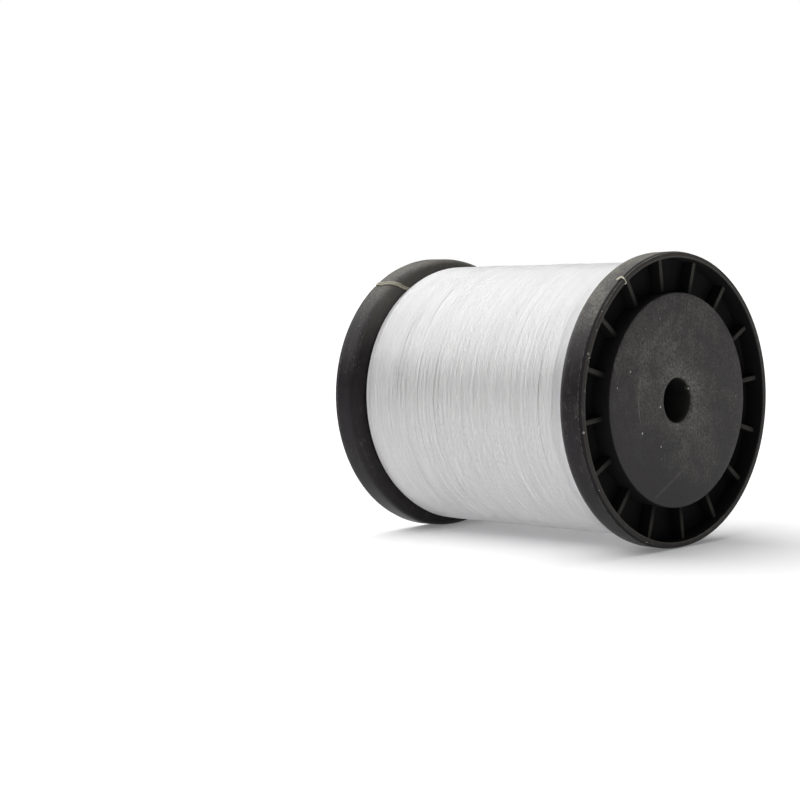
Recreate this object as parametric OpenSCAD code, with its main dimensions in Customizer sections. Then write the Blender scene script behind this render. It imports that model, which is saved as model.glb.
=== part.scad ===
// Bulk line spool, wound with clear monofilament and lying on its two flange rims.
// The spool's axis is X, the floor is Z = 0, and the origin is under the middle of the spool.

/* [Spool] */
// Overall length along the axis
spool_len = 170; // [140:1:200]
// Diameter of the two flanges
flange_d = 145; // [142:1:160]
// Diameter of the spindle bore
bore_d = 22; // [18:0.5:24]

/* [Flange] */
// Width of a flange, from its outer face to the winding
flange_w = 16; // [15:0.5:20]
// Thickness of the web that holds the winding in
web_t = 5; // [4:0.5:6]
// Radial thickness of the rim
rim_t = 3; // [2.5:0.1:4]
// Radius of the rounded shoulder on the winding side
shoulder_r = 5; // [3:0.5:6]
// Number of stiffening ribs in the ring pocket
rib_count = 16; // [8:1:24]
// Thickness of a rib
rib_t = 2.4; // [1:0.1:3.5]
// Depth of the rib tops below the outer face
rib_recess = 4.4; // [2:0.1:7]
// Angle of the first rib from the top, towards the near side
rib_phase = 5.8; // [0:0.1:22.5]

/* [Hub] */
// Diameter of the flat disc in the middle of each end
hub_d = 105; // [102:0.5:108]
// Thickness of that disc
hub_t = 3; // [2.5:0.5:4]
// Outer diameter of the barrel that the line is wound on
barrel_d = 98; // [94:0.5:99]
// Wall thickness of the barrel
barrel_t = 3; // [2:0.5:4]
// Wall thickness of the tube that lines the bore
tube_t = 2.5; // [2:0.5:4]

/* [Line] */
// Outer diameter of the winding
winding_d = 135.7; // [120:0.1:136]
// Diameter of the line itself
line_d = 0.85; // [0.7:0.05:1]
// How far the winding drops where it meets a flange
winding_drop = 4; // [0.5:0.1:5]
// Angle from the top at which both line ends cross their rims
line_angle = 33.5; // [32:0.5:36]

/* [Hidden] */

half_len = spool_len / 2;
flange_r = flange_d / 2;
bore_r = bore_d / 2;
hub_r = hub_d / 2;
barrel_r = barrel_d / 2;
winding_r = winding_d / 2;
line_r = line_d / 2;
rim_in_r = flange_r - rim_t;
pocket_depth = flange_w - web_t;
winding_len = spool_len - 2 * flange_w;
tube_r = bore_r + tube_t;

nose_len = 2.2;          // the rim's nose is stepped in over this length
nose_step = 0.6;         // by this much
edge_r = 0.5;            // small rounding on moulded edges
wall_draft = 0.4;        // lean of the rim's inner wall over the pocket's depth
band_draft = 0.25;       // lean of the rim's outer band
mouth_r = 1.6;           // rounding at the mouth of the bore
tube_seat = mouth_r + 0.5;  // depth at which the bore's tube is seated
socket_t = 2.5;          // wall of the socket that holds the bore's tube
socket_depth = 9;        // its depth behind the disc
cap_rib_count = 8;       // ribs behind the disc
cap_rib_t = 1.6;
cap_rib_h = 6;
barrel_gap = 0.3;        // between those ribs and the barrel
round_len = 8;           // the winding's ends are rounded over this length
strand_sides = 8;        // facets around a strand
nick_w = line_d;         // a nick in the rim grips one strand
pair_w = 2 * line_d;     // the start of the line is doubled
hole_r = 0.65;           // hole in the front web for the finishing end
hook_len = 3;            // length of the finishing end on the band
knot_r = 1.3;            // stopper knot
turn_r = 1;              // bend of a strand over an edge
wall_gap = 0.8;          // from the rim's inner wall to the middle of the finishing end
finish_r = rim_in_r - wall_draft - wall_gap;
strand_fit = 0.96;       // a strand's share of the width of its nick
over = 1;                // cuts run this far past what they cut
turned_sides = 180;      // facets of a turned shape on screen
small_sides = 24;        // facets of a small round shape
arc_steps = 6;           // steps of a rounded edge

// Points of an arc about c with radius r, from angle a to angle b
function arc(c, r, a, b, n = arc_steps) =
    [for (i = [0:n]) c + r * [cos(a + (b - a) * i / n), sin(a + (b - a) * i / n)]];

// Stands the Z axis of a turned shape along X, at the spool's axis
module on_axis() translate([0, 0, flange_r]) rotate([0, 90, 0]) children();

// Turns a profile of [radius, distance along the axis from the middle]
module turned(points) on_axis() rotate_extrude($fn = turned_sides) polygon(points);

// Puts what is drawn for the front end at the rear end
module at_rear() mirror([1, 0, 0]) children();

// Something drawn at the top of the spool, turned by an angle towards the near side
module at_angle(a) translate([0, 0, flange_r]) rotate([a, 0, 0]) children();

// Flange of the front end. Profile points are [radius, axial place].
module flange_body() {
    in_face = half_len - flange_w;
    floor_x = half_len - pocket_depth;
    band_r = flange_r - band_draft;
    shoulder = arc([band_r - shoulder_r, in_face + shoulder_r], shoulder_r, -90, 0);
    nose = arc([flange_r - nose_step - edge_r, half_len - edge_r], edge_r, 0, 90);
    lip = arc([rim_in_r + edge_r, half_len - edge_r], edge_r, 90, 180);
    turned(concat(
        [[barrel_r, in_face]], shoulder,
        [[flange_r, half_len - nose_len], [flange_r - nose_step, half_len - nose_len]],
        nose, lip,
        [[rim_in_r - wall_draft, floor_x], [barrel_r, floor_x]]));
}

// Ribs stand on the web's outer face, between the hub cap and the rim
module flange_ribs() {
    base_x = half_len - pocket_depth;
    rib_h = pocket_depth - rib_recess;
    intersection() {
        for (i = [0:rib_count - 1])
            at_angle(rib_phase + i * 360 / rib_count)
                translate([base_x - edge_r, -rib_t / 2, 0]) cube([rib_h + edge_r, rib_t, flange_r]);
        turned([[hub_r, base_x - edge_r], [rim_in_r + rim_t / 2, base_x - edge_r],
                [rim_in_r + rim_t / 2, half_len], [hub_r, half_len]]);
    }
}

// Nick across the rim's nose, as wide as what lies in it
module rim_nick(w, reach) {
    at_angle(line_angle) {
        translate([half_len - line_d, -w / 2, rim_in_r - rim_t]) cube([2 * line_d, w, 2 * rim_t]);
        translate([half_len - reach, -w / 2, flange_r - line_d]) cube([reach + line_d, w, rim_t]);
    }
}

module front_flange() color("#2a2a2b") difference() {
    union() { flange_body(); flange_ribs(); }
    rim_nick(nick_w, hook_len);
    at_angle(line_angle) translate([half_len - flange_w - over, 0, finish_r])
        rotate([0, 90, 0]) cylinder(h = web_t + 2 * over, r = hole_r, $fn = small_sides);
}

module rear_flange() color("#2a2a2b") at_rear() difference() {
    union() { flange_body(); flange_ribs(); }
    rim_nick(pair_w, nose_len);
}

// Cup that closes the barrel's end: a flat disc, a wall around the barrel and a socket for the tube
module hub_cap() {
    back = half_len - hub_t;
    mouth = arc([bore_r + mouth_r, half_len - mouth_r], mouth_r, 180, 90);
    rim = arc([hub_r - edge_r, half_len - edge_r], edge_r, 90, 0);
    floor_x = half_len - pocket_depth;
    turned(concat(
        [[bore_r, half_len - tube_seat]], mouth, rim,
        [[hub_r, floor_x], [barrel_r, floor_x], [barrel_r, back],
         [tube_r + socket_t, back], [tube_r + socket_t, back - socket_depth],
         [tube_r, back - socket_depth], [tube_r, half_len - tube_seat]]));
    inner = tube_r + socket_t / 2;
    for (i = [0:cap_rib_count - 1])
        at_angle((i + 0.5) * 360 / cap_rib_count)
            translate([back - cap_rib_h, -cap_rib_t / 2, inner])
                cube([cap_rib_h + edge_r, cap_rib_t, barrel_r - barrel_t - barrel_gap - inner]);
}

module front_hub_cap() color("#3a3a3a") hub_cap();
module rear_hub_cap() color("#3a3a3a") at_rear() hub_cap();

// Tube along the axis, as deep below both faces as it is seated
module sleeve(outer, inner, seat) {
    reach = half_len - seat;
    turned([[inner, -reach], [outer, -reach], [outer, reach], [inner, reach]]);
}

module barrel() color("#1f1f1f") sleeve(barrel_r, barrel_r - barrel_t, hub_t);
module spindle_tube() color("#1a1a1a") sleeve(tube_r, bore_r, tube_seat);

// The wound line as one solid, with a slot at the rear for the doubled start of the line
module line_winding() color("#e4e6ea") difference() {
    end_x = winding_len / 2;
    front = [for (i = [0:arc_steps])
        let (a = 90 * i / arc_steps)
            [winding_r - winding_drop * (1 - cos(a)), end_x - round_len * (1 - sin(a))]];
    rear = [for (i = [arc_steps:-1:0]) [front[i][0], -front[i][1]]];
    turned(concat([[barrel_r, -end_x]], rear, front, [[barrel_r, end_x]]));
    at_angle(line_angle) translate([-end_x - over, -pair_w / 2, barrel_r - over])
        cube([over + line_d, pair_w, winding_r]);
}

// A strand is a tube of rings about a path. Path points are [place along X, height above the axis],
// in the plane that stands at line_angle. w is its width across that plane and h its thickness in it.
function unit(v) = v / norm(v);
function heading(path, i) =
    unit(path[min(i + 1, len(path) - 1)] - path[max(i - 1, 0)]);
function ring(p, t, w, h) =
    [for (j = [0:strand_sides - 1])
        let (a = (j + 0.5) * 360 / strand_sides, n = h / 2 * sin(a))
            [p[0] - t[1] * n, w / 2 * cos(a), p[1] + t[0] * n]];

module strand(path, w, h) {
    n = strand_sides;
    last = len(path) - 1;
    points = [for (i = [0:last]) each ring(path[i], heading(path, i), w, h)];
    sides = [for (i = [0:last - 1], j = [0:n - 1])
        let (a = i * n + j, b = i * n + (j + 1) % n) [a, a + n, b + n, b]];
    start_cap = [[for (j = [0:n - 1]) j]];
    end_cap = [[for (j = [n - 1:-1:0]) last * n + j]];
    at_angle(line_angle) polyhedron(points, concat(sides, start_cap, end_cap), convexity = 6);
}

// The finishing end: through the web, up the rim's wall, across the nick and a little way back
module line_finish() {
    top_x = half_len - line_r;
    band_z = flange_r - line_r;
    path = concat(
        [[half_len - flange_w, finish_r], [half_len - pocket_depth, finish_r],
         [half_len - rib_recess, finish_r]],
        arc([top_x - turn_r, finish_r + turn_r], turn_r, -90, 0),
        arc([top_x - turn_r, band_z - turn_r], turn_r, 0, 90),
        [[half_len - hook_len + line_r, band_z]]);
    color("#e9e6cf") strand(path, line_d * strand_fit, line_d * strand_fit);
}

// The start of the line, doubled: up the inside of the rear web from the barrel, over the shoulder
// and the band, through the nick and down the pocket, where a stopper knot ends it
module line_start() {
    web_x = half_len - flange_w - line_r;
    band_z = flange_r + line_r;
    band_edge = flange_r - band_draft;
    edge_x = half_len - line_r - turn_r;
    inner_r = rim_in_r - wall_draft - line_r;
    knot = [half_len - pocket_depth + knot_r, inner_r - turn_r];
    path = concat(
        [[web_x, barrel_r + line_r], [web_x, (barrel_r + winding_r) / 2]],
        arc([web_x + line_r + shoulder_r, band_edge - shoulder_r], shoulder_r + line_r, 180, 90),
        [[half_len - nose_len - turn_r, band_z]],
        arc([edge_x, band_z - turn_r], turn_r, 90, 0),
        arc([edge_x, inner_r], turn_r, 0, -90),
        [knot]);
    color("#c9c3a4") at_rear() {
        strand(path, pair_w * strand_fit, line_d * strand_fit);
        at_angle(line_angle) translate([knot[0], 0, knot[1]]) sphere(r = knot_r, $fn = small_sides);
    }
}

barrel();
front_flange();
rear_flange();
front_hub_cap();
rear_hub_cap();
spindle_tube();
line_winding();
line_start();
line_finish();
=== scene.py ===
import math

import bmesh
import bpy
import numpy as np
from bpy.props import FloatProperty, FloatVectorProperty, IntProperty, PointerProperty
from mathutils import Matrix, Vector, noise


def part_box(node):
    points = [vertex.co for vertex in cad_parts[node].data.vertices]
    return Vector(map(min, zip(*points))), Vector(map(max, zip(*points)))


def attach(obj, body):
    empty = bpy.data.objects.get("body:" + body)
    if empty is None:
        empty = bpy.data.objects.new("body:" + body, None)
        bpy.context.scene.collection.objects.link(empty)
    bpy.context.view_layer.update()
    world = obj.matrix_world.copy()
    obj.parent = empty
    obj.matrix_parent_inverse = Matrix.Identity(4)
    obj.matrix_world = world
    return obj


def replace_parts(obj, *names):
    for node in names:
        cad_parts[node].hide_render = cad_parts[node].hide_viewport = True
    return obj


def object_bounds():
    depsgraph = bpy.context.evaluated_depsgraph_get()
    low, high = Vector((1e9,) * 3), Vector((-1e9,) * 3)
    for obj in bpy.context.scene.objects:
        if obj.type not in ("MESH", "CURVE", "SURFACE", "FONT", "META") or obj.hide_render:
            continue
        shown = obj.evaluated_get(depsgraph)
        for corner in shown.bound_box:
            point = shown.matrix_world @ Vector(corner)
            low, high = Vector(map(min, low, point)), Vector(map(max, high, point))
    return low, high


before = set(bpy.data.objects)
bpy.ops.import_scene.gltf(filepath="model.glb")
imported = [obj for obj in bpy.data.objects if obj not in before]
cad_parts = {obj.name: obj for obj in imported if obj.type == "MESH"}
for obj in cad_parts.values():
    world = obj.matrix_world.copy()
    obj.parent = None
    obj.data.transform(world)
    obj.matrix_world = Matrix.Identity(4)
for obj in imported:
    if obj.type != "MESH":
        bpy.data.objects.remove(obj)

bl_info = {
    "name": "Line Spool",
    "version": (1, 0, 0),
    "blender": (4, 5, 0),
    "location": "View3D > Sidebar > Line Spool",
    "description": "Dresses a bulk spool of fishing line: mouldings, wound line, line ends and studio",
    "category": "Add Mesh",
}

# The spool's axis is X, at the middle of the CAD box. Depths are measured inwards from the outer
# face of an end, and angles from the top of the spool towards -Y.
CAD_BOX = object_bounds()
BODY = "root"
MM = 0.001


def half_width(node):
    """Largest distance of a round node from the axis"""
    low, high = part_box(node)
    return (high.y - low.y) / 2


HALF_LENGTH = (CAD_BOX[1].x - CAD_BOX[0].x) / 2
AXIS_HEIGHT = (CAD_BOX[1].z + CAD_BOX[0].z) / 2
FLANGE_RADIUS = (CAD_BOX[1].z - CAD_BOX[0].z) / 2
FLANGE_WIDTH = HALF_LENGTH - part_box("front_flange")[0].x
HUB_RADIUS = half_width("front_hub_cap")
BARREL_RADIUS = half_width("barrel")
TUBE_RADIUS = half_width("spindle_tube")
TUBE_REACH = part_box("spindle_tube")[1].x
CAP_REACH = HALF_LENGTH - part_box("front_hub_cap")[0].x
WINDING_RADIUS = half_width("line_winding")
WINDING_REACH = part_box("line_winding")[1].x


# ---------------------------------------------------------------- settings

class SpoolMoulding(bpy.types.PropertyGroup):
    """Sizes of the two end mouldings"""

    bore_radius: FloatProperty(
        name="Bore Radius", description="Radius of the spindle bore", default=11 * MM, unit="LENGTH")
    mouth_radius: FloatProperty(
        name="Mouth Rounding", description="Rounding at the mouth of the bore",
        default=1.6 * MM, unit="LENGTH")
    rim_thickness: FloatProperty(
        name="Rim Thickness", description="Radial thickness of the rim", default=3 * MM, unit="LENGTH")
    web_thickness: FloatProperty(
        name="Web Thickness", description="Thickness of the web that holds the line in", default=5 * MM,
        unit="LENGTH")
    shoulder_radius: FloatProperty(
        name="Shoulder Radius", description="Rounding of the flange on the line's side", default=5 * MM,
        unit="LENGTH")
    nose_length: FloatProperty(
        name="Nose Length", description="Depth over which the rim is stepped in", default=2.2 * MM,
        unit="LENGTH")
    nose_step: FloatProperty(
        name="Nose Step", description="How far the rim is stepped in", default=0.6 * MM, unit="LENGTH")
    wall_draft: FloatProperty(
        name="Wall Draft", description="Lean of the rim's inner wall", default=0.4 * MM, unit="LENGTH")
    band_draft: FloatProperty(
        name="Band Draft", description="Lean of the rim's outer band", default=0.25 * MM, unit="LENGTH")
    edge_radius: FloatProperty(
        name="Edge Radius", description="Rounding of moulded edges", default=0.5 * MM, unit="LENGTH")
    rib_count: IntProperty(
        name="Ribs", description="Number of ribs in the ring pocket", default=16, min=4, max=32)
    rib_thickness: FloatProperty(
        name="Rib Thickness", description="Thickness of a rib at its top", default=2.4 * MM, unit="LENGTH")
    rib_recess: FloatProperty(
        name="Rib Recess", description="Depth of the rib tops", default=4.4 * MM, unit="LENGTH")
    rib_phase: FloatProperty(
        name="Rib Phase", description="Angle of the first rib", default=math.radians(5.8), unit="ROTATION")
    disc_thickness: FloatProperty(
        name="Disc Thickness", description="Thickness of the hub disc", default=3 * MM, unit="LENGTH")


class SpoolLine(bpy.types.PropertyGroup):
    """The line and how it is wound"""

    diameter: FloatProperty(
        name="Line Diameter", description="Diameter of the line", default=0.85 * MM, unit="LENGTH")
    end_angle: FloatProperty(
        name="Line End Angle", description="Angle at which both line ends cross their rims",
        default=math.radians(33.5), unit="ROTATION")
    end_drop: FloatProperty(
        name="End Drop", description="How far the winding drops where it meets a flange", default=4 * MM,
        unit="LENGTH")
    end_rounding: FloatProperty(
        name="End Rounding", description="Length over which the winding's ends are rounded",
        default=8 * MM, unit="LENGTH")
    lump: FloatProperty(
        name="Lump Height", description="Unevenness of the winding's surface", default=0.16 * MM,
        unit="LENGTH")
    open_layers: IntProperty(
        name="Open Layers", description="Layers of open turns over the close turns", default=2, min=0)
    open_pitch: FloatProperty(
        name="Open Pitch", description="Advance per turn of an open layer", default=3.6 * MM, unit="LENGTH")
    seed: IntProperty(name="Seed", description="Seed of the winding's unevenness", default=4)


class SpoolFinish(bpy.types.PropertyGroup):
    """Colours of the materials"""

    # Also painted shade: the flanges' ring pockets and downward faces, and the hubs' bores and side walls,
    # take this darker colour
    clean_and_shaded_plastic: FloatVectorProperty(
        name="Clean Plastic", description="Black plastic where nothing has rubbed it", subtype="COLOR",
        default=(0.0072, 0.0068, 0.007))
    black_plastic: FloatVectorProperty(
        name="Black Plastic", description="Black plastic of the flanges, outside", subtype="COLOR",
        default=(0.0118, 0.0094, 0.0114))
    disc_plastic: FloatVectorProperty(
        name="Disc Plastic", description="Black plastic of the hub discs", subtype="COLOR",
        default=(0.0145, 0.0112, 0.0143))
    # Also the colour of painted light: the sheen on upward faces, the lit upper web, the rib tops and the
    # bore's lit mouth and wall
    scuffed_and_lit_plastic: FloatVectorProperty(
        name="Scuffed Plastic", description="The same plastic where it is rubbed", subtype="COLOR",
        default=(0.15, 0.146, 0.128))
    pale_dust: FloatVectorProperty(
        name="Pale Dust", description="Specks, and plastic whitened by a knock", subtype="COLOR",
        default=(0.55, 0.55, 0.5))
    clear_line: FloatVectorProperty(
        name="Clear Line", description="Wound nylon line", subtype="COLOR", default=(0.894, 0.886, 0.903))
    aged_line: FloatVectorProperty(
        name="Aged Line", description="Line end that has been handled", subtype="COLOR",
        default=(0.3, 0.285, 0.222))
    cream_line: FloatVectorProperty(
        name="Cream Line", description="Cut end of the line", subtype="COLOR", default=(0.6, 0.59, 0.46))


class SpoolStudio(bpy.types.PropertyGroup):
    """Camera and light"""

    azimuth: FloatProperty(
        name="Azimuth", description="Direction of the camera round the spool, from -Y towards +X",
        default=math.radians(46.17), unit="ROTATION")
    elevation: FloatProperty(
        name="Elevation", description="Height of the camera as an angle", default=math.radians(3.84),
        unit="ROTATION")
    roll: FloatProperty(
        name="Roll", description="Tilt of the camera about its view", default=math.radians(-1.67),
        unit="ROTATION")
    distance: FloatProperty(
        name="Distance", description="From the camera to the spool's middle", default=1.0122, unit="LENGTH")
    aside: FloatProperty(
        name="Aside", description="How far the camera stands aside, to its right", default=-77 * MM,
        unit="LENGTH")
    focal_length: FloatProperty(
        name="Focal Length", description="Lens of the camera in millimetres", default=87.84)
    haze: FloatProperty(name="Haze", description="Brightness of the room's walls", default=0.09)
    softbox: FloatProperty(
        name="Softbox", description="Brightness of the overhead softbox", default=2.7)
    table_glow: FloatProperty(
        name="Table Glow", description="Light that comes up through the translucent table", default=0.17)
    box_edge: FloatProperty(
        name="Softbox Edge", description="Height of the softbox's front edge as an angle",
        default=math.radians(31), unit="ROTATION")


SETTINGS = {
    "spool_moulding": SpoolMoulding,
    "spool_line": SpoolLine,
    "spool_finish": SpoolFinish,
    "spool_studio": SpoolStudio,
}


# ---------------------------------------------------------------- shader maths

class Wire:
    """A shader socket that takes part in arithmetic, so that 1 - mask adds its Math node"""

    def __init__(self, shader, socket):
        self.shader = shader
        self.socket = socket

    def math(self, operation, *values):
        return self.shader.node("ShaderNodeMath", {"operation": operation}, dict(enumerate(values)))

    def __add__(self, other):
        return self.math("ADD", self, other)

    def __radd__(self, other):
        return self.math("ADD", other, self)

    def __sub__(self, other):
        return self.math("SUBTRACT", self, other)

    def __rsub__(self, other):
        return self.math("SUBTRACT", other, self)

    def __mul__(self, other):
        return self.math("MULTIPLY", self, other)

    def __rmul__(self, other):
        return self.math("MULTIPLY", other, self)

    def __truediv__(self, other):
        return self.math("DIVIDE", self, other)

    def __pow__(self, other):
        return self.math("POWER", self, other)

    def __abs__(self):
        return self.math("ABSOLUTE", self)

    def beside(self, output):
        """Another output of the same node"""
        return Wire(self.shader, self.socket.node.outputs[output])

    def atan2(self, other):
        return self.math("ARCTAN2", self, other)

    def at_least(self, other):
        return self.math("MAXIMUM", self, other)

    def at_most(self, other):
        return self.math("MINIMUM", self, other)

    def rise(self, low, high):
        """0 below low, 1 above high and smooth between; a high under low makes it fall"""
        return self.shader.node(
            "ShaderNodeMapRange", {"interpolation_type": "SMOOTHSTEP"},
            {"Value": self, "From Min": low, "From Max": high})

    def near(self, place, half_width):
        """1 at a value, falling to 0 at half_width from it"""
        return abs(self - place).rise(half_width, 0)


class Shader:
    """Builds the nodes of one material, or of the studio's room"""

    def __init__(self, owner):
        self.owner = owner
        owner.use_nodes = True
        self.tree = owner.node_tree
        self.tree.nodes.clear()

    def node(self, kind, settings=None, inputs=None, output=0):
        """Adds a node: its settings come first, then the values or links of its sockets"""
        made = self.tree.nodes.new(kind)
        for key, value in (settings or {}).items():
            setattr(made, key, value)
        for key, value in (inputs or {}).items():
            socket = made.inputs[key]
            if isinstance(value, Wire):
                self.tree.links.new(value.socket, socket)
            else:
                socket.default_value = (*value, 1)[:4] if socket.type == "RGBA" else value
        return Wire(self, made.outputs[output]) if made.outputs else None

    def place(self):
        return self.node("ShaderNodeTexCoord", output="Object")

    def split(self, vector):
        x = self.node("ShaderNodeSeparateXYZ", None, {"Vector": vector})
        return x, x.beside("Y"), x.beside("Z")

    def join(self, x, y, z):
        return self.node("ShaderNodeCombineXYZ", None, {"X": x, "Y": y, "Z": z})

    def noise(self, place, size, detail=3.0, roughness=0.55):
        """Noise from 0 to 1, with features of about that size in metres"""
        return self.node(
            "ShaderNodeTexNoise", None,
            {"Vector": place, "Scale": 1 / size, "Detail": detail, "Roughness": roughness})

    def blend(self, share, a, b):
        """Colour a where share is 0 and b where it is 1"""
        return self.node(
            "ShaderNodeMix", {"data_type": "RGBA", "clamp_factor": True}, {"Factor": share, 6: a, 7: b}, 2)

    def relief(self, height, strength, depth):
        """Normal of a surface with a fine relief of that depth in metres"""
        sockets = {"Strength": strength, "Distance": depth, "Height": height}
        return self.node("ShaderNodeBump", None, sockets, "Normal")

    def surface(self, **inputs):
        """Principled shader; underscores in a name stand for spaces"""
        sockets = {key.replace("_", " "): value for key, value in inputs.items()}
        shader = self.node("ShaderNodeBsdfPrincipled", None, sockets)
        self.node("ShaderNodeOutputMaterial", None, {"Surface": shader})
        return self.owner


def polar(shader):
    """Depth below the end's face, distance from the axis and angle from the top"""
    place = shader.place()
    x, y, z = shader.split(place)
    up = z - AXIS_HEIGHT
    radius = (y * y + up * up) ** 0.5
    angle = (0 - y).atan2(up)
    return place, HALF_LENGTH - abs(x), radius, angle


def specks(shader, place, spacing, size, share):
    """Small dots: a share of the cells of a random grid of that spacing hold one"""
    distance = shader.node(
        "ShaderNodeTexVoronoi", {"feature": "F1", "distance": "EUCLIDEAN"},
        {"Vector": place, "Scale": 1 / spacing, "Randomness": 1.0})
    pick = shader.split(distance.beside("Color"))[0]
    dot = distance.rise(size / spacing, 0.5 * size / spacing)
    return dot * pick.rise(1 - share, 1 - share * 0.9)


def stroke(across, up, start, end, width):
    """Straight soft mark on the face of a hub disc, between two places in millimetres from its middle"""
    start, end = Vector(start) * MM, Vector(end) * MM
    run = end - start
    y, z = across - start.x, up - start.y
    share = ((y * run.x + z * run.y) / run.length_squared).at_least(0).at_most(1)
    off_y, off_z = y - share * run.x, z - share * run.y
    return ((off_y * off_y + off_z * off_z) ** 0.5).rise(width, 0.25 * width)


def brushed(shader, place, tilt, size, ratio):
    """Noise drawn out into streaks, in the plane of the spool's faces"""
    turned = shader.node(
        "ShaderNodeMapping", None, {"Vector": place, "Rotation": (tilt, 0, 0), "Scale": (1, 1, 1 / ratio)})
    return shader.noise(turned, size, 4, 0.6)


def knocked(shader, place, knocks, end):
    """Pale spots where the rim of one end (1 front, -1 rear) is knocked"""
    total = 0
    for degrees, r, size in knocks:
        spot = on_spool(end * (HALF_LENGTH - 0.2 * MM), r * MM, math.radians(degrees))
        away = shader.node(
            "ShaderNodeVectorMath", {"operation": "DISTANCE"}, {0: place, 1: tuple(spot)}, "Value")
        total = total + away.rise(1.15 * size * MM, 0.6 * size * MM)
    return total


def flange_plastic(finish, moulding):
    """Black plastic of the flanges: deep black pocket and undersides with painted shade, dusting on the top
    with a painted sheen, painted light on the upper web, chattered rim edges
    """
    shader = Shader(bpy.data.materials.new("flange_plastic"))
    place, depth, radius, angle = polar(shader)
    normal = shader.split(shader.node("ShaderNodeNewGeometry", output="Normal"))
    x, _, height = shader.split(place)
    end = x.rise(-10 * MM, 10 * MM) * 2 - 1
    cloud = shader.noise(place, 30 * MM, 4, 0.6)
    blotch = shader.noise(place, 5 * MM, 6, 0.7)
    grain = shader.noise(place, 1.3 * MM, 4, 0.75)
    fine = shader.noise(place, 0.35 * MM, 2, 0.5)
    turned = shader.noise(shader.join(depth * 5, angle * (14 * MM), radius * 5), 5 * MM, 5, 0.7)
    chatter = shader.noise(shader.join(depth, angle * FLANGE_RADIUS, radius), 1.5 * MM, 4, 0.75)

    rim_inside = FLANGE_RADIUS - moulding.rim_thickness
    nose = moulding.nose_length
    # Painted shade in the ring pocket: it keeps the darker clean plastic and no rubbing, partly plastic left
    # clean and partly shade of the deep recess
    pocket = depth.rise(0.6 * MM, 1.4 * MM) * radius.rise(rim_inside + 0.3 * MM, rim_inside + 0.05 * MM)
    pocket = pocket * depth.rise(FLANGE_WIDTH - 1.5 * MM, FLANGE_WIDTH - 3.5 * MM)
    # Rib tops are lightened, partly rubbing and partly painted light on their lit tops; the fade towards the
    # hub is a painted shadow of the hub's wall
    rib_top = depth.near(moulding.rib_recess, 0.5 * MM) * abs(normal[0]).rise(0.35, 0.8) * pocket
    rib_top = rib_top * radius.rise(HUB_RADIUS - 1 * MM, HUB_RADIUS + 11 * MM)
    outside = 1 - pocket
    side_of_nose = depth.rise(0.3 * MM, 0.6 * MM) * depth.rise(nose, nose - 0.5 * MM) * outside

    # Upward faces are lightened: partly dusting, partly a painted sheen in place of the softbox's reflection
    above = (normal[2] + end * 0.08).rise(0.4, 1)
    # Painted shade: downward faces take the darker plastic and fewer scuffs, so the undersides stay dark
    under = normal[2].rise(-0.25, -0.8)
    # Painted light on the web's inner side, brightest towards the top, standing in for light off the winding
    web_inside = depth.rise(FLANGE_WIDTH - 4 * MM, FLANGE_WIDTH - 1 * MM)
    web_painted_light = web_inside * (0.03 + 0.45 * (height - AXIS_HEIGHT).rise(20 * MM, 55 * MM))
    dust_and_sheen = above * 1.2 * cloud.rise(0.25, 0.55) * (0.25 + grain.rise(0.35, 0.65) + 0.3 * blotch)
    mottle = blotch.rise(0.5, 0.7) * grain.rise(0.4, 0.62) * 0.3 + turned.rise(0.52, 0.7) * 0.1
    # Rubbing and scuffs, fewer on downward faces as painted shade, with the painted sheen and the web's
    # painted light added
    wear_and_painted_light = mottle * (0.3 + 0.7 * cloud.rise(0.42, 0.62)) * (1 - under * 0.7) + dust_and_sheen + web_painted_light
    wear_and_painted_light = wear_and_painted_light * (1 - side_of_nose * 0.95)
    rim_face = depth.rise(0.5 * MM, 0.2 * MM) * outside * (0.12 + 0.15 * grain)
    step = depth.near(nose, 0.35 * MM) * radius.rise(rim_inside + 1 * MM, rim_inside + 2 * MM)
    lip = depth.rise(0.8 * MM, 0.1 * MM) * radius.near(rim_inside + 0.45 * MM, 0.8 * MM)
    edge = step * chatter.rise(0.46, 0.6) * 1.3 + lip * 0.3
    wear_and_painted_light = (wear_and_painted_light + rim_face + edge * 0.4).at_most(1) * outside + rib_top * (0.14 + 0.24 * grain)

    knocks = knocked(shader, place, FRONT_KNOCKS, 1) + knocked(shader, place, REAR_KNOCKS, -1)
    dots = specks(shader, place, 4.5 * MM, 0.24 * MM, 0.14)
    dots = dots + specks(shader, place, 1.7 * MM, 0.22 * MM, 0.4) * (edge + normal[2].rise(0, 0.6) * 0.4)
    dots = dots + knocks * chatter.rise(0.34, 0.46)
    # The pocket and downward faces take the darker plastic: painted shade, in the pocket partly plastic left
    # clean
    colour = shader.blend(outside * (1 - under), finish.clean_and_shaded_plastic, finish.black_plastic)
    colour = shader.blend(wear_and_painted_light, colour, finish.scuffed_and_lit_plastic)
    colour = shader.blend((dots * outside).at_most(1), colour, finish.pale_dust)
    relief = grain * 0.6 + fine * 0.25 + blotch * 0.6 - wear_and_painted_light * 0.2
    bump = shader.relief(relief, 0.35, 0.1 * MM)
    rough = 0.33 + wear_and_painted_light * 0.3 + pocket * 0.35 + side_of_nose * 0.25 + grain * 0.12
    return shader.surface(Base_Color=colour, Roughness=rough, IOR=1.22, Normal=bump)


# Radius at which something has rubbed on the front hub disc
WEAR_RADIUS = 30.5 * MM

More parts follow.
